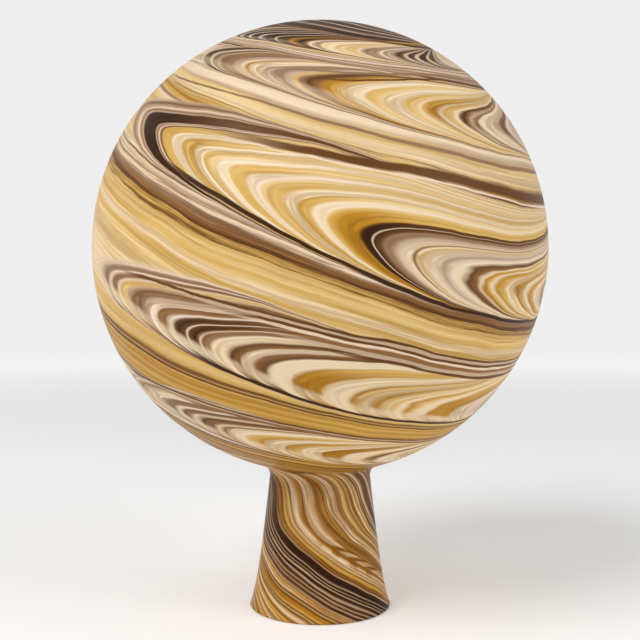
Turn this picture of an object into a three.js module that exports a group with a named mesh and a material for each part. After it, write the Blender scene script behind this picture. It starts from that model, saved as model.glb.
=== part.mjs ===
// A mouth-blown glass ball with a flared open neck, which it stands on.
// Millimetres, +Z up. The origin is the middle of the ring that the neck's rim stands on.
import * as THREE from 'three';

// Driving dimensions
const BALL_RADIUS = 100; // half of the width across the middle
const BALL_HALF_HEIGHT = 99; // the hot glass sagged a little, so it is lower than wide
const WALL = 4; // glass thickness all over
const BALL_CENTRE_Z = 158.5;

const WAIST_RADIUS = 22; // outside of the neck, where it leaves the ball
const NECK_TAPER = 0.11; // growth of the neck's radius for each millimetre downwards
const FLARE = 2.6; // extra radius at the rim
const FLARE_REACH = 12; // height over which that flare dies away

const RIM_OUTER_ROUNDING = 1.2; // the cut rim's edges, melted round
const RIM_INNER_ROUNDING = 0.8;

const SIDES = 60; // facets round the axis
const OUTER_STEPS = 28; // facets from the top down to the neck
const INNER_STEPS = 18;
const NECK_STEPS = 7;
const ROUNDING_STEPS = 2;

// Heights at which an ellipsoid with the ball's centre has the given radius, on its lower side
const lowerHeight = (radius, width, halfHeight) =>
  BALL_CENTRE_Z - halfHeight * Math.sqrt(1 - (radius / width) ** 2);

const CREASE_Z = lowerHeight(WAIST_RADIUS, BALL_RADIUS, BALL_HALF_HEIGHT);

const neckRadius = (z) =>
  WAIST_RADIUS + NECK_TAPER * (CREASE_Z - z) + FLARE * Math.exp(-z / FLARE_REACH);

// Points down one side of the ball, from the top of the axis to the given radius near the bottom
function ballProfile(width, halfHeight, endRadius, steps) {
  const endAngle = Math.PI - Math.asin(endRadius / width);
  const points = [];
  for (let i = 0; i <= steps; i++) {
    const angle = (endAngle * i) / steps;
    const radius = i === 0 ? 0 : width * Math.sin(angle);
    points.push(new THREE.Vector2(radius, BALL_CENTRE_Z + halfHeight * Math.cos(angle)));
  }
  return points;
}

// Points down the neck, moved inwards by the given depth, without the end at the ball
function neckProfile(depth, lowest) {
  const points = [];
  for (let i = 1; i <= NECK_STEPS; i++) {
    const z = CREASE_Z + ((lowest - CREASE_Z) * i) / NECK_STEPS;
    points.push(new THREE.Vector2(neckRadius(z) - depth, z));
  }
  return points;
}

// Quarter circle from the vertical wall round to the flat rim; side is 1 outside and -1 inside
function rimRounding(wallRadius, rounding, side) {
  const centre = wallRadius - side * rounding;
  const points = [];
  for (let i = 1; i <= ROUNDING_STEPS; i++) {
    const angle = (Math.PI / 2) * (i / ROUNDING_STEPS);
    points.push(new THREE.Vector2(
      centre + side * rounding * Math.cos(angle),
      rounding * (1 - Math.sin(angle)),
    ));
  }
  return points;
}

function ballAndNeckProfile() {
  const outside = [
    ...ballProfile(BALL_RADIUS, BALL_HALF_HEIGHT, WAIST_RADIUS, OUTER_STEPS),
    ...neckProfile(0, RIM_OUTER_ROUNDING),
    ...rimRounding(neckRadius(RIM_OUTER_ROUNDING), RIM_OUTER_ROUNDING, 1),
  ];
  const inside = [
    ...ballProfile(BALL_RADIUS - WALL, BALL_HALF_HEIGHT - WALL, WAIST_RADIUS - WALL, INNER_STEPS),
    new THREE.Vector2(WAIST_RADIUS - WALL, CREASE_Z),
    ...neckProfile(WALL, RIM_INNER_ROUNDING),
    ...rimRounding(neckRadius(RIM_INNER_ROUNDING) - WALL, RIM_INNER_ROUNDING, -1),
  ];
  return [...outside, ...inside.reverse()];
}

// The lathe turns its profile about Y, so the solid is tipped up onto Z. The profile runs downwards
// outside and back up inside, and is turned round here so that the faces point outwards.
function ballAndNeck() {
  const geometry = new THREE.LatheGeometry(ballAndNeckProfile().reverse(), SIDES);
  geometry.rotateX(Math.PI / 2);
  const marbledGlass = new THREE.MeshStandardMaterial({
    color: 0xc9a066,
    roughness: 0.4,
    metalness: 0,
  });
  const mesh = new THREE.Mesh(geometry, marbledGlass);
  mesh.name = 'ball_and_neck';
  return mesh;
}

const glassBall = new THREE.Group();
glassBall.add(ballAndNeck());

export default glassBall;
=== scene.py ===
"""The looks of a marbled glass ball on its flared neck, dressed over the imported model.

The glass is one piece: a blown ball, its neck, and the hollow inside them. Its pattern is a
field worked out from the surface's own place, so it runs all round with no seam.
"""
import functools
import math
import operator

import bpy
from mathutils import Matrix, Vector, noise


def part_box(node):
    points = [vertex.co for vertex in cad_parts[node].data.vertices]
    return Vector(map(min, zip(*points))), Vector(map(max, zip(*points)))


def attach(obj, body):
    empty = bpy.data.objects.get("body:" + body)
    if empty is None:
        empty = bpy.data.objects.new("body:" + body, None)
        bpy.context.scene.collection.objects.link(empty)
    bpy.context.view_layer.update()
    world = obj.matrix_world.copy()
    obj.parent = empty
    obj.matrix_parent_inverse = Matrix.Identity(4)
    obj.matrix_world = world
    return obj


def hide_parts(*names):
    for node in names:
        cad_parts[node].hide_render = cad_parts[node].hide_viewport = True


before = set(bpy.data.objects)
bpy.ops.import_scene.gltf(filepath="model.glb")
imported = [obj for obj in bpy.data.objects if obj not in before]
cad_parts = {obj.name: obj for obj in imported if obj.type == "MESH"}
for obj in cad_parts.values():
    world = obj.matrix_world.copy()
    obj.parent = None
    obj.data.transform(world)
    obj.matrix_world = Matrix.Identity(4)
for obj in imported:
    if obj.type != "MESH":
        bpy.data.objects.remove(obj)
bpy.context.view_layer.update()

# ---------------------------------------------------------------- sizes, in metres
LOW, HIGH = (Vector(corner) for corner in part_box("ball_and_neck"))
BALL_RADIUS = (HIGH.x - LOW.x) / 2
BALL_HALF_HEIGHT = 0.99 * BALL_RADIUS  # the hot glass sagged a little
BALL_CENTRE = Vector((0.0, 0.0, HIGH.z - BALL_HALF_HEIGHT))
WALL = 0.004
WAIST_RADIUS = 0.022  # outside of the neck, where it leaves the ball
NECK_TAPER = 0.11  # how fast the neck widens on its way down
FLARE = 0.0026  # how much further it opens at its foot, and the height that fades over
FLARE_REACH = 0.012
CREASE_FILLET = 0.0008  # the glass is drawn smoothly from ball into neck
RIM_OUTER_ROUNDING = 0.0012
RIM_INNER_ROUNDING = 0.0008
RIM_STEPS = 5  # round each of the rim's edges, and across it
SKIN_GAP = 0.00003  # keeps the smooth glass inside the CAD box
UNEVENNESS = 0.0003  # how far the hand-blown surface wanders inwards
TRUE_FOOT = 0.004  # the height up to which the neck is truly round
SIDES = 240  # facets round the axis
BALL_ROWS = 150  # rows of facets down the ball, the neck, its passage and the hollow
NECK_ROWS = 44
PASSAGE_ROWS = 24
HOLLOW_ROWS = 60
TEXTURE_SKIN = 0.86  # the share of the baked texture's height for the marbled skin
TEXTURE_LINING = 0.13  # and for the lining under it

# ---------------------------------------------------------------- colours, linear RGB
BLACK = (0.046, 0.017, 0.004)
UMBER = (0.135, 0.052, 0.013)
BROWN = (0.275, 0.130, 0.042)
MAUVE = (0.295, 0.168, 0.092)
LILAC = (0.545, 0.390, 0.265)
OCHRE = (0.480, 0.225, 0.016)
AMBER = (0.668, 0.405, 0.103)
STRAW = (0.780, 0.540, 0.225)
CREAM = (0.845, 0.665, 0.425)
BLUSH = (0.830, 0.640, 0.460)
OPAL = (0.740, 0.680, 0.580)


# ---------------------------------------------------------------- arithmetic in a material
class Number:
    """A number that varies over the surface: arithmetic on it adds Math nodes to its material."""

    def __init__(self, socket):
        self.socket = socket

    def __add__(self, other):
        return maths("ADD", self, other)

    def __sub__(self, other):
        return maths("SUBTRACT", self, other)

    def __rsub__(self, other):
        return maths("SUBTRACT", other, self)

    def __mul__(self, other):
        return maths("MULTIPLY", self, other)

    def __truediv__(self, other):
        return maths("DIVIDE", self, other)

    def __neg__(self):
        return maths("MULTIPLY", self, -1.0)

    __radd__ = __add__
    __rmul__ = __mul__


def plug(value, socket):
    """Gives a node's input a constant, or links it to what varies."""
    if isinstance(value, Number):
        socket.id_data.links.new(value.socket, socket)
    else:
        socket.default_value = value


def tree_of(*values):
    return next(value.socket.id_data for value in values if isinstance(value, Number))


def maths(operation, *values, clamp=False):
    node = tree_of(*values).nodes.new("ShaderNodeMath")
    node.operation = operation
    node.use_clamp = clamp
    for value, socket in zip(values, node.inputs):
        plug(value, socket)
    return Number(node.outputs[0])


def sine(degrees):
    return maths("SINE", degrees * math.radians(1))


def cosine(degrees):
    return maths("COSINE", degrees * math.radians(1))


def rise(value, low, high):
    """0 below low, 1 above high, and a smooth step between."""
    node = tree_of(value).nodes.new("ShaderNodeMapRange")
    node.interpolation_type = "SMOOTHSTEP"
    plug(value, node.inputs["Value"])
    node.inputs["From Min"].default_value = low
    node.inputs["From Max"].default_value = high
    return Number(node.outputs["Result"])


def blend(factor, first, second):
    """Runs a number from first to second as factor goes from 0 to 1."""
    return factor * (second - first) + first


def vector(x, y, z):
    node = tree_of(x, y, z).nodes.new("ShaderNodeCombineXYZ")
    for value, socket in zip((x, y, z), node.inputs):
        plug(value, socket)
    return Number(node.outputs[0])


def separate(place):
    """The x, y and z of a vector."""
    node = tree_of(place).nodes.new("ShaderNodeSeparateXYZ")
    plug(place, node.inputs[0])
    return [Number(output) for output in node.outputs]


def vector_maths(operation, first, second=None, output="Vector"):
    node = tree_of(first).nodes.new("ShaderNodeVectorMath")
    node.operation = operation
    plug(first, node.inputs[0])
    if second is not None:
        plug(second, node.inputs[1])
    return Number(node.outputs[output])


def dot(value, direction):
    return vector_maths("DOT_PRODUCT", value, tuple(direction), "Value")


def cloud(place, scale=1.0, detail=2.0, roughness=0.5):
    """Smooth noise, about -1 to 1, at a place given as a vector."""
    node = tree_of(place).nodes.new("ShaderNodeTexNoise")
    plug(place, node.inputs["Vector"])
    node.inputs["Scale"].default_value = scale
    node.inputs["Detail"].default_value = detail
    node.inputs["Roughness"].default_value = roughness
    return (Number(node.outputs["Fac"]) - 0.5) * 2.6


def mix_colour(factor, first, second, blend_type="MIX"):
    node = tree_of(factor, first, second).nodes.new("ShaderNodeMix")
    node.data_type = "RGBA"
    node.blend_type = blend_type
    node.clamp_result = True
    plug(factor, node.inputs["Factor"])
    for value, name in ((first, "A"), (second, "B")):
        socket = next(s for s in node.inputs if s.name == name and s.type == "RGBA")
        plug(value if isinstance(value, Number) else (*value, 1.0), socket)
    return Number(next(s for s in node.outputs if s.type == "RGBA"))


def ramp(value, stops, first, last):
    """The colours of stops, (place, colour) pairs, along a number that runs from first to last."""
    node = tree_of(value).nodes.new("ShaderNodeValToRGB")
    plug((value - first) / (last - first), node.inputs["Fac"])
    elements = node.color_ramp.elements
    for _ in stops[2:]:
        elements.new(0.5)
    for element, (place, colour) in zip(elements, stops):
        element.position = (place - first) / (last - first)
        element.color = (*colour, 1.0)
    return Number(node.outputs["Color"])


RAMP_LIMIT = 32  # the most colours that one ramp node holds


def long_ramp(value, stops):
    """A ramp of any number of stops, in as many nodes as it takes."""
    colour = None
    for start in range(0, len(stops) - 1, RAMP_LIMIT - 1):
        part = stops[start : start + RAMP_LIMIT]
        piece = ramp(value, part, part[0][0], part[-1][0])
        if colour is None:
            colour = piece
        else:
            colour = mix_colour(maths("GREATER_THAN", value, part[0][0]), colour, piece)
    return colour


COLOUR_SOCKET = "NodeSocketColor"
NUMBER_SOCKET = "NodeSocketFloat"

# Sockets that Blender names more finely on its nodes than on a node group.
GROUP_KINDS = {"NodeSocketFloatFactor": NUMBER_SOCKET, "NodeSocketVectorXYZ": "NodeSocketVector"}


def grouped(name, build, inputs, outputs):
    """Builds part of a material as a node group, because one very large tree is slow to make.

    build makes the group's nodes from its inputs, and gives a list of its results. inputs maps
    each socket's name to what it takes, and outputs maps each to its kind.
    """
    tree = bpy.data.node_groups.new(name, "ShaderNodeTree")
    for label, value in inputs.items():
        kind = value.socket.bl_idname
        tree.interface.new_socket(label, in_out="INPUT", socket_type=GROUP_KINDS.get(kind, kind))
    for label, kind in outputs.items():
        tree.interface.new_socket(label, in_out="OUTPUT", socket_type=kind)
    entry = tree.nodes.new("NodeGroupInput")
    results = build(*(Number(entry.outputs[label]) for label in inputs))
    way_out = tree.nodes.new("NodeGroupOutput")
    for result, label in zip(results, outputs):
        plug(result, way_out.inputs[label])
    node = tree_of(*inputs.values()).nodes.new("ShaderNodeGroup")
    node.node_tree = tree
    for label, value in inputs.items():
        plug(value, node.inputs[label])
    return [Number(node.outputs[label]) for label in outputs]


# ---------------------------------------------------------------- the marbling of the ball
def direction(longitude, latitude):
    """A direction from the ball's centre. Longitude 0 faces the front, and grows to the right."""
    around, up = math.radians(longitude), math.radians(latitude)
    return Vector((math.cos(up) * math.sin(around), -math.cos(up) * math.cos(around), math.sin(up)))


# The pattern was wound and combed about an axis of its own, which leans to the front right.
PATTERN_POLE = direction(52, 66)
PATTERN_FRONT = (direction(0, 0) - PATTERN_POLE * direction(0, 0).dot(PATTERN_POLE)).normalized()
PATTERN_RIGHT = PATTERN_FRONT.cross(PATTERN_POLE).normalized() * -1


class Ring:
    """One line round the ball along which a comb was dragged, and the folds that it left.

    latitude and lean place the line about the pattern's axis, in degrees. The folds reach a
    share of the way to the next ring above and below, and pull says how sharply they point.
    bluntness widens the upper side of the folds, all round and then in front, in degrees.
    paleness says how far the opal shows through under their tips. drop is how far the bands
    under the line fall as they run to the right, as a share of the way to the next line. canes
    are the colours that the comb crossed, by the place of their tips along the line.
    """

    def __init__(self, latitude, lean, above=0.4, below=0.25, pull=(4.0, 2.0),
                 bluntness=(0.0, 0.0), paleness=0.0, drop=0.1, canes=()):
        self.latitude = latitude
        self.lean = lean
        self.above = above
        self.below = below
        self.pull_above, self.pull_below = pull
        self.blunt_all_round, self.blunt_in_front = bluntness
        self.paleness = paleness
        self.drop = drop
        self.canes = canes


TIP_ROUNDING = 2.2  # how blunt the folds' tips are, in degrees
EDGE_POWER_BELOW = 3.0  # how suddenly the drag grows without end at a fold's edge
EDGE_POWER_ABOVE = 10.0
EDGE_LIMIT = 0.98  # the share of a fold's reach up to which the drag still grows
BLUNT_FRONT = 12  # where along the rings the folds are bluntest, and how far that spreads
BLUNT_SPREAD = 24
SHARPENING = 0.25  # how much more sharply the folds to the right of the front point
FOLDS_RUN = 205  # how far round from its first cane a ring keeps its folds, in degrees
FOLDS_FADE = 60
NEAR_CANES_END = 90.0  # where a ring's own list of canes ends
TIP_DRIFT = 1.3  # how far the folds' tips wander along their ring, in degrees
FLAMES = 1.8  # how far the folds to the right waver besides

RINGS = [
    Ring(88, 0),
    Ring(63.0, 11.5, 0.25, 0.24, (5.0, 4.0), (0.0, 0.0), 0.2, 0.1, [
        (-86, BLUSH), (-81, BROWN), (-79, BLUSH), (-76, UMBER), (-72, BLACK), (-70, BLUSH),
        (-68, BLACK), (-63, BLACK), (-62, BLUSH), (-60, BLACK), (-56, BLACK), (-55, BLUSH),
        (-53, BLACK), (-47, BLACK), (-46, BLUSH), (-45, BLACK), (-41, UMBER),
        (-39, OCHRE), (-37, UMBER), (-35, BLACK), (-33, BROWN), (-31, BLUSH), (-28, MAUVE),
        (-26, CREAM), (-24, STRAW), (-22, CREAM), (-20, AMBER), (-18, CREAM), (-16, STRAW),
        (-14, AMBER), (-12, CREAM), (-10, LILAC), (-8, MAUVE), (-6, LILAC), (-4, MAUVE),
        (-2, BLUSH), (0, MAUVE), (2, LILAC), (5, MAUVE), (7, BLACK), (9, BROWN), (11, BLUSH),
        (13, BLACK), (16, UMBER), (18, BLUSH), (20, BLACK), (24, BLACK), (26, CREAM), (29, UMBER),
        (32, BLACK), (34, LILAC), (37, MAUVE), (41, BLUSH), (46, LILAC), (52, BLUSH), (60, STRAW),
        (75, BLUSH), (90, STRAW)]),
    Ring(46.5, 5.1, 0.58, 0.22, (4.2, 3.6), (0.0, 3.0), 0.35, 0.1, [
        (-72, BLUSH), (-69, MAUVE), (-67, BLUSH), (-65, UMBER), (-61, BLACK), (-59, BLUSH),
        (-57, UMBER), (-54, LILAC), (-52, BROWN), (-47, MAUVE), (-44, LILAC), (-42, BLUSH),
        (-40, OCHRE), (-38, CREAM), (-34, CREAM), (-32, LILAC), (-28, MAUVE), (-25, LILAC),
        (-23, AMBER), (-21, MAUVE), (-18, UMBER), (-16, BROWN), (-13, OCHRE), (-9, AMBER),
        (-6, CREAM), (-2, CREAM), (0, AMBER), (4, STRAW), (6, CREAM), (10, CREAM), (12, AMBER),
        (15, STRAW), (16, CREAM), (18, AMBER), (22, OCHRE), (24, CREAM), (26, AMBER), (29, STRAW),
        (31, CREAM), (32, BROWN), (33.5, BLACK), (35, BROWN), (36.5, LILAC), (38, MAUVE),
        (39.5, BROWN), (41, BLUSH), (44, CREAM), (46, LILAC), (50, CREAM), (54, LILAC),
        (56, BROWN), (60, UMBER), (64, BLUSH), (74, LILAC), (80, BLUSH), (90, STRAW)]),
    Ring(17.0, -5.5, 0.585, 0.235, (4.2, 2.4), (0.0, 7.0), 0.0, 0.1, [
        (-76, BLUSH), (-72, LILAC), (-69, MAUVE), (-66, LILAC), (-64, BLUSH), (-62.5, BROWN),
        (-60.5, LILAC), (-59, BLACK), (-51, BLACK), (-50.2, LILAC), (-49.4, BROWN), (-48.7, BLUSH),
        (-48, UMBER), (-47, AMBER), (-43.5, AMBER), (-42.5, CREAM), (-39, CREAM), (-38, AMBER),
        (-35, AMBER), (-34, CREAM), (-31.5, CREAM), (-30.5, AMBER), (-28, STRAW), (-27, CREAM),
        (-24.5, CREAM), (-23.5, AMBER), (-19, AMBER), (-18, CREAM), (-15, BLUSH), (-14, STRAW),
        (-10.5, AMBER), (-9, CREAM), (-6.5, CREAM), (-5.5, AMBER), (-3, AMBER), (-2, CREAM),
        (0, CREAM), (1, AMBER), (3, OCHRE), (7.6, OCHRE), (8.4, UMBER), (9.0, BLACK), (10.8, BLACK),
        (11.2, CREAM), (11.7, BLACK), (12.8, UMBER), (14, MAUVE), (15, MAUVE),
        (16.5, LILAC), (18, BLUSH), (19.4, CREAM), (20, BROWN), (20.8, CREAM), (22, STRAW),
        (23, CREAM), (26, BLUSH), (28.5, LILAC), (31, BLUSH), (33, CREAM), (35, UMBER),
        (37.5, BROWN), (39, CREAM), (40.5, OCHRE),
        (42, AMBER), (43, CREAM), (45, OCHRE), (47.5, AMBER), (48.5, CREAM), (50.5, STRAW),
        (51.5, CREAM), (53, OCHRE), (55.5, AMBER), (56.5, CREAM), (59, CREAM), (60.5, OCHRE),
        (63, AMBER), (64, CREAM), (68, BLUSH), (72, MAUVE), (76, BLUSH), (90, STRAW)]),
    Ring(-17.4, -2.7, 0.47, 0.215, (4.5, 1.5), (4.0, 6.0), 0.75, 0.18, [
        (-60, CREAM), (-55, BLUSH), (-53.5, LILAC), (-52, MAUVE), (-50, MAUVE), (-48.5, BLUSH),
        (-47, MAUVE), (-45.5, BROWN), (-44, BLUSH), (-43, AMBER), (-41, STRAW), (-40, LILAC),
        (-38.5, BROWN), (-35, MAUVE), (-33, LILAC), (-31.5, BLUSH), (-30, BLUSH), (-29, BROWN),
        (-27, BROWN), (-26, LILAC), (-25.4, BLUSH), (-24.6, UMBER), (-23.5, BLACK),
        (-21.3, UMBER), (-20.8, BLUSH), (-20.3, UMBER), (-18.5, BLACK), (-17.6, BROWN),
        (-17, BLUSH), (-16.2, BROWN), (-14.5, MAUVE), (-13.6, CREAM), (-11, CREAM), (-10, UMBER),
        (-8, BROWN), (-7, CREAM), (-5, BLUSH), (-4, BROWN), (-1.5, UMBER), (-0.5, CREAM),
        (4.5, CREAM), (6, OCHRE), (11.5, OCHRE), (13, CREAM),
        (18, CREAM), (19, OCHRE), (22, STRAW), (23, CREAM), (25.5, OCHRE), (28, STRAW),
        (29, CREAM), (30.5, AMBER), (32, CREAM), (34, OCHRE), (36, STRAW), (37, CREAM),
        (39, CREAM), (41, OCHRE), (49, OCHRE), (51, CREAM), (58, BLUSH), (66, LILAC),
        (90, STRAW)]),
    Ring(-41.0, 3.6, 0.45, 0.26, (5.0, 1.6), (2.0, 2.0), 0.6, 0.17, [
        (-54, LILAC), (-50, MAUVE), (-47, BLUSH), (-44, BROWN), (-41, LILAC), (-38, CREAM),
        (-33, BLUSH), (-31, MAUVE), (-27, BROWN), (-25, BLUSH), (-23, UMBER), (-20, BROWN),
        (-18, BLUSH), (-16, UMBER), (-12, BROWN), (-10, CREAM), (-8, BROWN), (-6, CREAM),
        (-2, CREAM), (0, AMBER), (4, OCHRE), (6, CREAM), (10, CREAM), (11, OCHRE), (15, AMBER),
        (17, CREAM), (21, CREAM), (22, OCHRE), (28, OCHRE), (30, CREAM), (35, CREAM),
        (37, OCHRE), (40, UMBER), (43, CREAM), (60, STRAW), (90, STRAW)]),
    Ring(-61.0, 2.0, 0.35, 0.30, (4.0, 3.0), (0.0, 0.0), 0.4, 0.1, [
        (-70, AMBER), (-60, UMBER), (-48, CREAM), (-40, BROWN), (-30, OCHRE), (-20, UMBER),
        (-10, AMBER), (0, BROWN), (12, OCHRE), (25, UMBER), (35, AMBER), (50, BROWN),
        (70, STRAW), (90, OCHRE)]),
    Ring(-88, 0),
]

WORN = {OCHRE: AMBER, AMBER: STRAW, BLACK: UMBER}  # how colours thin along the folds' upper side

# The straight-drawn bands between the folds, by how many rings lie above, and a share of the next.
BANDS = [
    (0.0, BLACK), (0.05, UMBER), (0.08, BLUSH), (0.11, MAUVE), (0.15, LILAC), (0.18, BROWN),
    (0.21, UMBER), (0.24, BLUSH), (0.27, UMBER), (0.34, BLACK),
    (0.40, UMBER), (0.42, LILAC), (0.44, BLACK), (0.52, BLACK), (0.54, BLUSH), (0.56, BLACK),
    (0.63, UMBER), (0.65, LILAC), (0.67, BLACK), (0.75, BLACK), (0.77, BROWN), (0.79, BLACK),
    (0.84, UMBER), (0.88, BROWN), (0.92, BLUSH),
    (1.0, CREAM), (1.16, STRAW), (1.24, CREAM), (1.27, AMBER), (1.29, LILAC), (1.31, BLUSH),
    (1.33, BROWN), (1.36, BLUSH), (1.40, MAUVE), (1.42, BLUSH), (1.46, MAUVE), (1.50, LILAC),
    (1.53, UMBER), (1.56, UMBER), (1.58, BLUSH), (1.62, MAUVE), (1.64, LILAC), (1.70, BLUSH),
    (2.0, CREAM),
    (2.12, LILAC), (2.15, CREAM), (2.19, LILAC), (2.21, CREAM), (2.25, BLUSH), (2.29, CREAM),
    (2.33, LILAC), (2.35, STRAW), (2.40, STRAW), (2.46, CREAM), (2.49, STRAW),
    (2.51, MAUVE), (2.52, STRAW), (2.55, AMBER), (2.58, OCHRE), (2.61, AMBER), (2.64, STRAW),
    (2.66, BROWN), (2.69, BLUSH), (2.74, STRAW), (3.0, STRAW), (3.16, STRAW), (3.19, CREAM),
    (3.21, UMBER), (3.222, CREAM), (3.245, LILAC), (3.258, BROWN), (3.265, CREAM), (3.28, BLUSH),
    (3.29, LILAC), (3.302, MAUVE), (3.318, BROWN), (3.335, BROWN), (3.348, UMBER), (3.365, UMBER),
    (3.375, AMBER),
    (3.385, BROWN), (3.392, AMBER), (3.41, UMBER), (3.416, AMBER), (3.44, STRAW), (3.46, AMBER),
    (3.48, STRAW), (3.51, AMBER), (3.54, STRAW), (3.57, CREAM), (3.61, AMBER), (3.66, STRAW),
    (4.0, CREAM), (4.14, STRAW), (4.22, AMBER), (4.30, STRAW), (4.36, AMBER), (4.385, UMBER),
    (4.41, BROWN), (4.425, AMBER), (4.44, UMBER), (4.46, UMBER), (4.475, AMBER), (4.52, OCHRE),
    (4.56, AMBER), (4.60, OCHRE), (4.66, AMBER), (4.70, OCHRE), (4.75, AMBER), (4.78, BROWN),
    (4.80, LILAC), (4.82, UMBER), (4.85, BLUSH), (4.90, CREAM), (5.0, CREAM), (5.30, BLUSH),
    (5.34, LILAC), (5.36, UMBER), (5.39, UMBER), (5.405, AMBER), (5.44, BROWN), (5.48, OCHRE),
    (5.54, AMBER), (5.58, UMBER), (5.62, OCHRE), (5.70, BROWN), (5.76, OCHRE), (6.0, BROWN),
    (6.2, OCHRE), (6.4, UMBER), (6.6, AMBER), (6.8, BROWN), (7.0, OCHRE),
]
BANDS_VARY = 1.4  # how much the bands' streaks change on the way round


class Hem:
    """A long line that the folds leave beside them, where many drawn colours run together.

    crossed is where it ends up among the rings. It climbs to there from the folds' tips, and
    fades in between two places along them.
    """

    def __init__(self, colour, crossed, half_width, climb, starts, full):
        self.colour = colour
        self.crossed = crossed
        self.half_width = half_width
        self.climb = climb
        self.starts = starts
        self.full = full


HEM_LEVELS_OFF = 28  # where along the rings the hems stop climbing, in degrees
HEM_RUN = 85  # how far back from there the first tips lie

HEMS = [
    Hem(OCHRE, 0.62, 0.025, 0.50, -5, 5),
    Hem(MAUVE, 1.36, 0.030, 0.90, -40, -10),
    Hem(UMBER, 1.44, 0.022, 1.20, -25, -5),
    Hem(MAUVE, 2.285, 0.014, 0.14, -80, -60),
    Hem(UMBER, 2.445, 0.034, 0.52, -45, -10),
    Hem(BLUSH, 2.491, 0.008, 0.52, -40, -5),
    Hem(BLACK, 3.214, 0.015, -0.09, -50, -30),
    Hem(UMBER, 3.535, 0.010, 0.44, -48, -34),
    Hem(LILAC, 3.553, 0.010, 0.44, -40, -15),
    Hem(UMBER, 3.574, 0.012, 0.44, -22, 0),
    Hem(BLUSH, 3.592, 0.010, 0.44, -20, 5),
    Hem(BROWN, 3.614, 0.014, 0.44, -15, 12),
    Hem(LILAC, 3.640, 0.013, 0.44, -10, 15),
    Hem(UMBER, 3.666, 0.012, 0.44, 0, 20),
    Hem(BLACK, 4.180, 0.020, 0.02, -30, -12),
    Hem(UMBER, 4.540, 0.014, 0.38, -60, -40),
    Hem(LILAC, 4.562, 0.010, 0.38, -50, -20),
    Hem(BROWN, 4.588, 0.018, 0.38, -40, -10),
]

# What the comb crossed on the far side, from the darkest to the palest.
FAR_CANES = [
    (0.0, BLACK), (0.24, BLACK), (0.32, UMBER), (0.37, MAUVE), (0.41, STRAW), (0.45, OCHRE),
    (0.49, AMBER), (0.53, CREAM), (0.60, CREAM), (0.63, AMBER), (0.67, STRAW), (0.71, BLUSH),
    (0.76, LILAC), (0.80, MAUVE), (1.0, UMBER),
]


def ring_line(ring, along):
    """The height of a ring's line, in degrees about the pattern's axis."""
    return ring.latitude + ring.lean * sine(along)


def dragged(ring, along, offset, share, is_above):
    """How far back the comb's drag carried the glass, in degrees along the ring."""
    from_front = (along - BLUNT_FRONT) / BLUNT_SPREAD
    blunt = maths("EXPONENT", -(from_front * from_front)) * ring.blunt_in_front
    rounding = (blunt + ring.blunt_all_round) * is_above + TIP_ROUNDING
    distance = maths("SQRT", offset * offset + rounding * rounding) - rounding
    edge_power = blend(is_above, EDGE_POWER_BELOW, EDGE_POWER_ABOVE)
    near_edge = maths("POWER", maths("MINIMUM", share, EDGE_LIMIT), edge_power)
    pull_above = ring.pull_above * (rise(sine(along), -0.26, 0.26) * SHARPENING + 1.0)
    return blend(is_above, ring.pull_below, pull_above) * distance / (1.0 - near_edge)


def wandering(ring, tip, offset, side):
    """A fold's tip, moved a little along its ring as drawn glass wanders."""
    drift = cloud(vector(cosine(tip) * 9, sine(tip) * 9, side * 0.3 + ring.latitude), detail=3.0)
    flames = cloud(vector(cosine(tip) * 9, sine(tip) * 9, offset * 0.35), detail=1.0)
    return tip + drift * TIP_DRIFT + flames * rise(sine(tip), 0.34, 0.7) * FLAMES


def fold_colour(ring, tip, offset):
    """The cane that a fold's tip stands for, worn on the upper side, and chance ones behind."""
    place = maths("MINIMUM", tip, NEAR_CANES_END)
    worn = long_ramp(place, [(where, WORN.get(cane, cane)) for where, cane in ring.canes])
    near = mix_colour(rise(offset, 2.5, 9.0), long_ramp(place, ring.canes), worn)
    shuffle = cloud(vector(cosine(tip) * 6, sine(tip) * 6, ring.latitude), detail=2.0)
    far = ramp(shuffle * 0.38 + 0.5, FAR_CANES, 0.0, 1.0)
    return mix_colour(rise(tip, NEAR_CANES_END - 12.0, NEAR_CANES_END + 5.0), near, far)


def folds(ring, upper, lower, along, height):
    """The folds of one ring: their colour, and how fully they cover what lies round them."""
    line = ring_line(ring, along)
    offset = height - line
    is_above = maths("GREATER_THAN", offset, 0.0)
    reach_above = (ring_line(upper, along) - line) * ring.above
    reach_below = (line - ring_line(lower, along)) * ring.below
    share = maths("ABSOLUTE", offset) / blend(is_above, reach_below, reach_above)
    side = rise(offset, -3.0, 3.0)
    tip = along - dragged(ring, along, offset, share, is_above)
    first = ring.canes[0][0]
    tip = maths("WRAP", wandering(ring, tip, offset, side), first + 360.0, first)

    colour = fold_colour(ring, tip, offset)
    if ring.paleness:
        under = rise(share, 0.12, 0.40) * (1.0 - rise(share, 0.55, 0.80)) * (1.0 - is_above)
        colour = mix_colour(under * ring.paleness, colour, CREAM)
    colour = draw_out(colour, (cosine(tip) * 22, sine(tip) * 22, side * 0.5 + offset * 0.04), 0.75)
    started = rise(tip, first, first + 6.0)
    ended = rise(tip, first + FOLDS_RUN, first + FOLDS_RUN + FOLDS_FADE)
    cover = (1.0 - rise(share, 0.92, 1.0)) * started * (1.0 - ended)
    return [colour, cover]


DARK_THREADS = (0.50, 0.38, 0.22)  # what the threads do to the colour under them
PALE_THREADS = (1.12, 1.20, 1.40)


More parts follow.
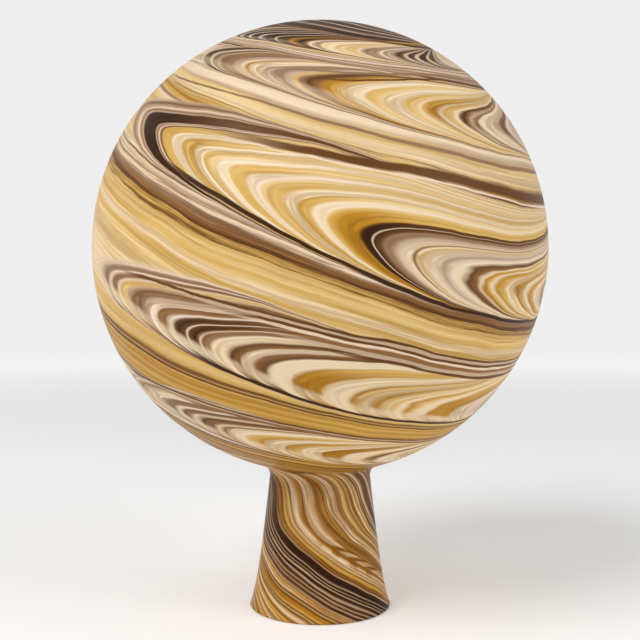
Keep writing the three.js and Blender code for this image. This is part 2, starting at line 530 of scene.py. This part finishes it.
def draw_out(colour, grain, strength):
    """Runs fine dark and pale threads through a colour, along the grain."""
    x, y, z = grain
    for tint, shift in ((DARK_THREADS, 0.0), (PALE_THREADS, 7.3)):
        threads = cloud(vector(x, y, z + shift), detail=2.0)
        patches = cloud(vector(x * 0.3, y * 0.3, z * 0.5 + shift), detail=1.0)
        thin = 1.0 - rise(maths("ABSOLUTE", threads), 0.05, 0.42)
        cover = thin * rise(patches, -0.6, 0.7) * strength
        colour = mix_colour(cover, colour, tint, "MULTIPLY")
    return colour


def pattern_place(outwards):
    """The height about the pattern's axis and the angle along its rings, both in degrees."""
    height = maths("ARCSINE", dot(outwards, PATTERN_POLE)) * math.degrees(1)
    height = height + cloud(outwards, scale=2.6, detail=1.0) * 0.6
    height = height + cloud(outwards, scale=9.0, detail=1.0) * 0.2
    near_pole = rise(height, 64.0, 82.0)
    height = height + cloud(outwards, scale=2.2, detail=1.0) * near_pole * 7.0
    along = maths("ARCTAN2", dot(outwards, PATTERN_RIGHT), dot(outwards, PATTERN_FRONT))
    return height, along * math.degrees(1)


def rings_crossed(height, along):
    """How many rings lie above, with the share of the next gap, and the same as the bands lean."""
    to_right = rise(sine(along), -0.5, 0.42)
    shares, leaning = [], []
    for upper, lower in zip(RINGS, RINGS[1:]):
        top = ring_line(upper, along)
        share = maths("DIVIDE", top - height, top - ring_line(lower, along), clamp=True)
        shares.append(share)
        leaning.append(to_right * share * (1.0 - share) * (4.0 * upper.drop) + share)
    return functools.reduce(operator.add, shares), functools.reduce(operator.add, leaning)


def ball_marbling(place):
    """The colour of the ball at a place on its surface."""
    outwards = vector_maths("NORMALIZE", vector_maths("SUBTRACT", place, tuple(BALL_CENTRE)))
    height, along = pattern_place(outwards)
    crossed, leaned = rings_crossed(height, along)
    inputs = {
        "Leaned": leaned,
        "Frontwards": dot(outwards, PATTERN_FRONT) * BANDS_VARY,
        "Rightwards": dot(outwards, PATTERN_RIGHT) * BANDS_VARY,
    }
    outputs = {"Colour": COLOUR_SOCKET, "Streaks": NUMBER_SOCKET}
    colour, streaks = grouped("drawn_bands", drawn_bands, inputs, outputs)
    inputs = {"Along": along, "Height": height}
    outputs = {"Colour": COLOUR_SOCKET, "Cover": NUMBER_SOCKET}
    for upper, ring, lower in zip(RINGS, RINGS[1:], RINGS[2:]):
        part = functools.partial(folds, ring, upper, lower)
        folded, cover = grouped("folds", part, inputs, outputs)
        colour = mix_colour(cover, colour, folded)
    inputs = {"Colour": colour, "Crossed": crossed + streaks * 0.3, "Along": along}
    return grouped("hems", add_hems, inputs, {"Colour": COLOUR_SOCKET})


def drawn_bands(leaned, *run):
    """The bands between the folds, and how far their fine streaks wander."""
    streaks = cloud(vector(leaned * 30, *run), detail=4.0, roughness=0.7) * 0.035
    colour = long_ramp(leaned + streaks, BANDS)
    return [draw_out(colour, (leaned * 32, *run), 0.7), streaks]


def add_hems(colour, crossed, along):
    """Lays the hems over the marbling, in their order."""
    behind = maths("MAXIMUM", (HEM_LEVELS_OFF - along) / HEM_RUN, 0.0)
    climbed = maths("POWER", behind, 1.4)
    in_front = 1.0 - rise(along, 95.0, 150.0)
    for hem in HEMS:
        away = maths("ABSOLUTE", crossed - hem.crossed - climbed * hem.climb) / hem.half_width
        cover = (1.0 - rise(away, 0.6, 1.2)) * rise(along, hem.starts, hem.full) * in_front
        colour = mix_colour(cover, colour, hem.colour)
    return [colour]


# ---------------------------------------------------------------- the marbling of the neck
NECK_LENGTH = 0.062
CREASE_BLEND = 0.0012  # above and below there, the neck's colours run into the ball's

# The colours round the neck, by the angle at which each of its strands leaves the ball.
NECK_CANES = [
    (-224, AMBER), (-216, OCHRE), (-210, CREAM), (-206, BROWN), (-203, STRAW), (-198, AMBER),
    (-194, OCHRE), (-190, BROWN), (-187, CREAM), (-183, CREAM), (-180, BROWN), (-178, STRAW),
    (-174, UMBER), (-172, AMBER), (-168, OCHRE), (-164, OCHRE), (-161, UMBER), (-158, STRAW),
    (-155, BROWN), (-152, CREAM), (-149, OCHRE), (-146, STRAW), (-143, BROWN), (-141, BLUSH),
    (-138, UMBER), (-136, BLACK), (-134, LILAC), (-131, UMBER), (-129, BLACK), (-127, BLUSH),
    (-125, UMBER), (-121, BLACK), (-119, LILAC), (-117, BLACK), (-113, BLACK), (-111, BLUSH),
    (-109, BLACK), (-106, BLACK), (-104.5, LILAC), (-103, BLACK), (-99.5, BLACK), (-98, LILAC),
    (-96.5, BLACK), (-86, BLACK), (-84.5, BLUSH), (-82.5, BROWN), (-80, AMBER), (-77.5, UMBER),
    (-75, OCHRE), (-72, AMBER), (-69.5, BROWN), (-67, STRAW), (-64.5, BROWN), (-62, CREAM),
    (-57, BLUSH), (-54.5, OCHRE), (-51, OCHRE), (-49, BROWN), (-47, CREAM), (-43, BLUSH),
    (-39.5, CREAM), (-37, OCHRE), (-33, BROWN), (-30, OCHRE), (-27, AMBER), (-24.5, BROWN),
    (-22, CREAM), (-17, BLUSH), (-14.5, BROWN), (-12, OCHRE), (-9, BROWN), (-6, STRAW),
    (-3, BROWN), (-0.5, OCHRE), (2, STRAW), (4, BROWN), (6, OCHRE), (8.5, CREAM), (11, BROWN),
    (13, STRAW), (15, UMBER), (17, BLACK), (19, BLUSH), (21.5, UMBER), (24, CREAM), (27, BROWN),
    (30, BLACK), (35, BLACK), (38, BLUSH), (43, UMBER), (47, BLUSH), (52, UMBER), (56, BLACK),
    (60, OCHRE), (65, BROWN), (70, CREAM), (75, BROWN), (80, UMBER), (85, STRAW), (90, BROWN),
    (96, UMBER), (102, AMBER), (108, BROWN), (113, CREAM), (119, UMBER), (124, STRAW),
    (130, BROWN), (136, AMBER),
]
NECK_START, NECK_END = NECK_CANES[0][0], NECK_CANES[-1][0]  # a whole turn
HAIRPIN = (0.380, 0.160, 0.014)
HAIRPIN_STRAND = -47
HAIRPIN_SPACING = 5.2  # millimetres down the neck
HAIRPIN_SWEEP = 0.28  # how far they trail, in millimetres for each degree to the side
NECK_DARKS_THINNED = (0.185, 0.092, 0.052)  # the darkest glass, where the neck was drawn thinnest
NECK_PAINTED_SHADE = (0.92, 0.84, 0.70)  # painted shade: the neck stands under the ball, so all its colours are darkened and deepened


def twist(depth):
    """How far a strand has turned, in degrees, at a depth in millimetres below the ball.

    It turns quickly where the neck was necked in, hangs straighter, then winds to the rim.
    """
    necked = (1.0 - maths("EXPONENT", depth * (-1 / 3.5))) * 26
    below = depth - 24
    wound = (maths("SQRT", below * below + 100.0) + below) * (3.8 / 2)
    return necked + wound


def add_hairpins(colour, strand, depth):
    """A few small hairpins that stand one below another on one strand."""
    beside = maths("ABSOLUTE", strand - HAIRPIN_STRAND)
    lobes = cosine((depth - beside * HAIRPIN_SWEEP) * (360 / HAIRPIN_SPACING))
    lower_half = rise(depth, 27.0, 31.0) * (1.0 - rise(depth, 43.0, 47.0))
    cover = rise(lobes, -0.3, 0.6) * (1.0 - rise(beside, 8.0, 14.0)) * lower_half
    return mix_colour(cover, colour, HAIRPIN)


def neck_marbling(place):
    """The neck was twisted as it was drawn, so its lines fall from left to right."""
    x, y, z = separate(place)
    around = maths("ARCTAN2", x, -y) * math.degrees(1)
    depth = maths("MAXIMUM", (NECK_LENGTH - z) * 1000, 0.0)
    strand = around - twist(depth) + cloud(place, scale=45.0, detail=1.0) * 6
    grain = cloud(vector(cosine(strand) * 9, sine(strand) * 9, depth * 0.03), detail=3.0)
    strand = strand + grain * 4
    colour = long_ramp(maths("WRAP", strand, float(NECK_END), float(NECK_START)), NECK_CANES)
    colour = add_hairpins(colour, strand, depth)
    stretched = 1.0 - rise(depth, 6.0, 32.0)
    colour = mix_colour(stretched * 0.8, colour, NECK_DARKS_THINNED, "LIGHTEN")
    # painted shade: darkens and deepens the whole neck, which stands in the ball's shade
    colour = mix_colour(1.0, colour, NECK_PAINTED_SHADE, "MULTIPLY")
    return [draw_out(colour, (cosine(strand) * 26, sine(strand) * 26, depth * 0.03), 1.7)]


# ---------------------------------------------------------------- materials
def marbled_glass():
    """Satin, opaque glass with the marbling in its skin."""
    material = bpy.data.materials.new("marbled_glass")
    material.use_nodes = True
    nodes, links = material.node_tree.nodes, material.node_tree.links
    shader = nodes["Principled BSDF"]
    place = Number(nodes.new("ShaderNodeTexCoord").outputs["Object"])
    inputs, outputs = {"Place": place}, {"Colour": COLOUR_SOCKET}
    (neck,) = grouped("neck_marbling", neck_marbling, inputs, outputs)
    (ball,) = grouped("ball_marbling", ball_marbling, inputs, outputs)
    height = separate(place)[2]
    on_ball = rise(height, NECK_LENGTH - CREASE_BLEND, NECK_LENGTH + CREASE_BLEND)
    plug(mix_colour(on_ball, neck, ball), shader.inputs["Base Color"])
    plug(cloud(place, scale=60.0, detail=4.0) * 0.03 + 0.40, shader.inputs["Roughness"])
    shader.inputs["IOR"].default_value = 1.5
    shader.inputs["Specular IOR Level"].default_value = 0.1
    bump = nodes.new("ShaderNodeBump")
    bump.inputs["Strength"].default_value = 0.06
    bump.inputs["Distance"].default_value = 0.0005
    plug(cloud(place, scale=900.0, detail=2.0), bump.inputs["Height"])
    links.new(bump.outputs["Normal"], shader.inputs["Normal"])
    return material


def opal_glass():
    """The plain milky glass under the colours, which lines the hollow and shows in the rim."""
    material = bpy.data.materials.new("opal_lining")
    material.use_nodes = True
    nodes = material.node_tree.nodes
    shader = nodes["Principled BSDF"]
    place = Number(nodes.new("ShaderNodeTexCoord").outputs["Object"])
    milk = cloud(place, scale=35.0, detail=4.0)
    plug(mix_colour(milk * 0.3 + 0.5, OPAL, CREAM), shader.inputs["Base Color"])
    plug(milk * 0.05 + 0.3, shader.inputs["Roughness"])
    return material


# ---------------------------------------------------------------- the glass itself
def lower_height(radius, width, half_height):
    """Height of an ellipse's lower half, at a distance from the axis."""
    return BALL_CENTRE.z - half_height * math.sqrt(1 - (radius / width) ** 2)


CREASE_Z = lower_height(WAIST_RADIUS, BALL_RADIUS, BALL_HALF_HEIGHT)


def neck_radius(z):
    """The outside radius of the neck at a height."""
    return WAIST_RADIUS + NECK_TAPER * (CREASE_Z - z) + FLARE * math.exp(-z / FLARE_REACH)


def ball_profile(width, half_height, last_radius, steps):
    """(radius, z) down one side of the ball, from its top to where the neck begins."""
    last = math.pi - math.asin(last_radius / width)
    for step in range(steps + 1):
        angle = last * step / steps
        yield width * math.sin(angle), BALL_CENTRE.z + half_height * math.cos(angle)


def rounding(centre, radius, start, end, steps):
    """(radius, z) round an edge, between two angles in degrees."""
    for step in range(1, steps):
        angle = math.radians(start + (end - start) * step / steps)
        yield centre[0] + radius * math.cos(angle), centre[1] + radius * math.sin(angle)


def outer_profile():
    """Down the ball's outside and the neck's, with the crease between them rounded."""
    last_radius = WAIST_RADIUS + 2 * CREASE_FILLET
    profile = list(ball_profile(BALL_RADIUS, BALL_HALF_HEIGHT, last_radius, BALL_ROWS))
    top = CREASE_Z - 1.4 * CREASE_FILLET
    for step in range(NECK_ROWS + 1):
        z = top + (RIM_OUTER_ROUNDING - top) * step / NECK_ROWS
        profile.append((neck_radius(z), z))
    return soften(profile, CREASE_Z, 4 * CREASE_FILLET)


def soften(profile, height, reach, passes=5):
    """Rounds a profile's corner at a height, by averaging neighbours near it."""
    for _ in range(passes):
        smooth = list(profile)
        for i in range(1, len(profile) - 1):
            if abs(profile[i][1] - height) < reach:
                smooth[i] = tuple((a + 2 * b + c) / 4 for a, b, c in zip(*profile[i - 1 : i + 2]))
        profile = smooth
    return profile


def rim_profile():
    """Round the rim's outer edge, across its flat, and round its inner edge."""
    outer = neck_radius(0) - RIM_OUTER_ROUNDING
    inner = neck_radius(0) - WALL + RIM_INNER_ROUNDING
    yield from rounding((outer, RIM_OUTER_ROUNDING), RIM_OUTER_ROUNDING, 0, -90, RIM_STEPS)
    for step in range(RIM_STEPS):
        yield outer + (inner - outer) * step / (RIM_STEPS - 1), 0.0
    yield from rounding((inner, RIM_INNER_ROUNDING), RIM_INNER_ROUNDING, -90, -180, RIM_STEPS)


def inner_profile():
    """Up the neck's passage, and up the hollow in the ball."""
    for step in range(PASSAGE_ROWS):
        z = RIM_INNER_ROUNDING + (CREASE_Z - RIM_INNER_ROUNDING) * step / PASSAGE_ROWS
        yield neck_radius(z) - WALL, z
    width, half_height = BALL_RADIUS - WALL, BALL_HALF_HEIGHT - WALL
    yield from reversed(list(ball_profile(width, half_height, WAIST_RADIUS - WALL, HOLLOW_ROWS)))


def unevenness(point):
    """How far the glass wanders inwards from a true turned shape, as blown work does."""
    return UNEVENNESS * (0.5 + 0.5 * noise.noise(point * 14))


def turned_points(profile, uneven_rows):
    """The points of the turned shell, a list for each point of its profile."""
    rows = []
    for row, (radius, z) in enumerate(profile):
        if radius < 1e-6:
            rows.append([Vector((0.0, 0.0, z - SKIN_GAP))])
            continue
        points = []
        for side in range(SIDES):
            angle = 2 * math.pi * side / SIDES
            outwards = Vector((math.sin(angle), -math.cos(angle), 0.0))
            point = outwards * (radius - SKIN_GAP) + Vector((0, 0, z))
            if row < uneven_rows and z > TRUE_FOOT:
                point -= (point - BALL_CENTRE).normalized() * (unevenness(point) + SKIN_GAP)
            points.append(point)
        rows.append(points)
    return rows


def texture_levels(profile, lined_from):
    """How high each row lies in the baked texture: the lining takes a strip under the skin."""
    lengths = [0.0]
    for (r0, z0), (r1, z1) in zip(profile, profile[1:]):
        lengths.append(lengths[-1] + math.hypot(r1 - r0, z1 - z0))
    skin = lengths[lined_from]
    levels = []
    for length in lengths:
        if length <= skin:
            levels.append(1.0 - TEXTURE_SKIN * length / skin)
        else:
            levels.append(TEXTURE_LINING * (1 - (length - skin) / (lengths[-1] - skin)))
    return levels


def turned_faces(rows, levels, lined_from):
    """The faces between the rows, the texture corners of each, and whether each is lining."""
    faces, corners, lining = [], [], []
    start = 0
    for row, (above, below) in enumerate(zip(rows, rows[1:])):
        next_start = start + len(above)
        upper = TEXTURE_LINING if row == lined_from else levels[row]
        lower = levels[row + 1]
        for side in range(SIDES):
            after = (side + 1) % SIDES
            left, right = side / SIDES, (side + 1) / SIDES
            middle = (left + right) / 2
            if len(above) == 1:
                faces.append((start, next_start + side, next_start + after))
                corners += [middle, upper, left, lower, right, lower]
            elif len(below) == 1:
                faces.append((start + after, start + side, next_start))
                corners += [right, upper, left, upper, middle, lower]
            else:
                faces.append((start + side, next_start + side, next_start + after, start + after))
                corners += [left, upper, left, lower, right, lower, right, upper]
            lining.append(row >= lined_from)
        start = next_start
    return faces, corners, lining


def marbled_glass_ball():
    """One turned shell: down the outside, over the rim, and up the inside."""
    outer = outer_profile()
    profile = outer + list(rim_profile()) + list(inner_profile())
    lined_from = len(outer) + RIM_STEPS - 1
    rows = turned_points(profile, len(outer))
    levels = texture_levels(profile, lined_from)
    faces, corners, lining = turned_faces(rows, levels, lined_from)
    mesh = bpy.data.meshes.new("marbled_glass_ball")
    mesh.from_pydata([point for points in rows for point in points], [], faces)
    mesh.uv_layers.new(name="OFBake").data.foreach_set("uv", corners)
    mesh.materials.append(marbled_glass())
    mesh.materials.append(opal_glass())
    mesh.polygons.foreach_set("material_index", [int(lined) for lined in lining])
    mesh.shade_smooth()
    mesh.update()
    piece = bpy.data.objects.new("marbled_glass_ball", mesh)
    bpy.context.scene.collection.objects.link(piece)
    return piece


# ---------------------------------------------------------------- the stage
CAMERA_DISTANCE = 4.25 * BALL_RADIUS
CAMERA_HEIGHT = BALL_CENTRE.z - 0.312 * BALL_RADIUS
LENS = 53.2  # millimetres, on a sensor 36 wide
ROOM_FRONT = 0.26  # how brightly the room's walls light the glass, before it and behind it
ROOM_BACK = 0.70
CEILING_DIMMING = 0.35
ROOM_SEEN = 0.86  # how bright the room looks to the camera
FLOOR_SIZE = 12.0
FLOOR_GLOW_NEAR = 0.17  # how brightly the floor itself glows near the glass, and far off
FLOOR_GLOW_FAR = 0.52
WHITE = (1.0, 1.0, 1.0, 1.0)


def pale_floor():
    """White all over, and glowing further off, so that it meets the white room with no line."""
    material = bpy.data.materials.new("floor")
    material.use_nodes = True
    nodes = material.node_tree.nodes
    shader = nodes["Principled BSDF"]
    shader.inputs["Base Color"].default_value = (0.9, 0.9, 0.9, 1.0)
    shader.inputs["Roughness"].default_value = 0.9
    shader.inputs["Emission Color"].default_value = WHITE
    place = Number(nodes.new("ShaderNodeTexCoord").outputs["Object"])
    distance = vector_maths("LENGTH", place, output="Value")
    glow = blend(rise(distance, 0.2, 2.6), FLOOR_GLOW_NEAR, FLOOR_GLOW_FAR)
    plug(glow, shader.inputs["Emission Strength"])
    return material


def add_floor():
    """A wide floor, which belongs to the stage and not to the object."""
    half = FLOOR_SIZE / 2
    mesh = bpy.data.meshes.new("floor")
    corners = [(-half, -half, 0.0), (half, -half, 0.0), (half, half, 0.0), (-half, half, 0.0)]
    mesh.from_pydata(corners, [], [(0, 1, 2, 3)])
    mesh.materials.append(pale_floor())
    floor = bpy.data.objects.new("floor", mesh)
    bpy.context.scene.collection.objects.link(floor)


def add_light(name, place, size, power):
    """A soft round light that faces the ball."""
    data = bpy.data.lights.new(name, "AREA")
    data.shape = "DISK"
    data.size = size
    data.energy = power
    light = bpy.data.objects.new(name, data)
    light.location = place
    light.rotation_euler = (BALL_CENTRE - Vector(place)).to_track_quat("-Z", "Y").to_euler()
    bpy.context.scene.collection.objects.link(light)


def add_room():
    """A white room that lights the glass less from the camera's side and from the ceiling."""
    world = bpy.data.worlds.new("studio")
    world.use_nodes = True
    nodes, links = world.node_tree.nodes, world.node_tree.links
    seen = nodes["Background"]
    seen.inputs["Color"].default_value = WHITE
    seen.inputs["Strength"].default_value = ROOM_SEEN
    lighting = nodes.new("ShaderNodeBackground")
    lighting.inputs["Color"].default_value = WHITE
    place = Number(nodes.new("ShaderNodeTexCoord").outputs["Generated"])
    backwards = dot(place, (0.0, 1.0, 0.0))
    ceiling = rise(dot(place, (0.0, 0.0, 1.0)), 0.1, 0.7) * CEILING_DIMMING
    level = blend(rise(backwards, -0.7, 0.7), ROOM_FRONT, ROOM_BACK) * (1.0 - ceiling)
    plug(level, lighting.inputs["Strength"])
    either = nodes.new("ShaderNodeMixShader")
    links.new(nodes.new("ShaderNodeLightPath").outputs["Is Camera Ray"], either.inputs["Fac"])
    links.new(lighting.outputs[0], either.inputs[1])
    links.new(seen.outputs[0], either.inputs[2])
    links.new(either.outputs[0], nodes["World Output"].inputs["Surface"])
    bpy.context.scene.world = world
    bpy.context.scene.view_settings.view_transform = "Standard"


def add_camera():
    """Looks level from the front, from a little below the ball's centre."""
    data = bpy.data.cameras.new("camera")
    data.lens = LENS
    data.sensor_width = 36.0
    camera = bpy.data.objects.new("camera", data)
    camera.location = (0.0, -CAMERA_DISTANCE, CAMERA_HEIGHT)
    camera.rotation_euler = (math.radians(90), 0.0, 0.0)
    bpy.context.scene.collection.objects.link(camera)
    bpy.context.scene.camera = camera


add_camera()
add_floor()
add_room()
add_light("key", place=(-0.9, -0.9, 1.3), size=1.0, power=19)
add_light("fill", place=(1.3, -0.7, 0.9), size=1.2, power=9.6)
glass = marbled_glass_ball()
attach(glass, "root")
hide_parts("ball_and_neck")
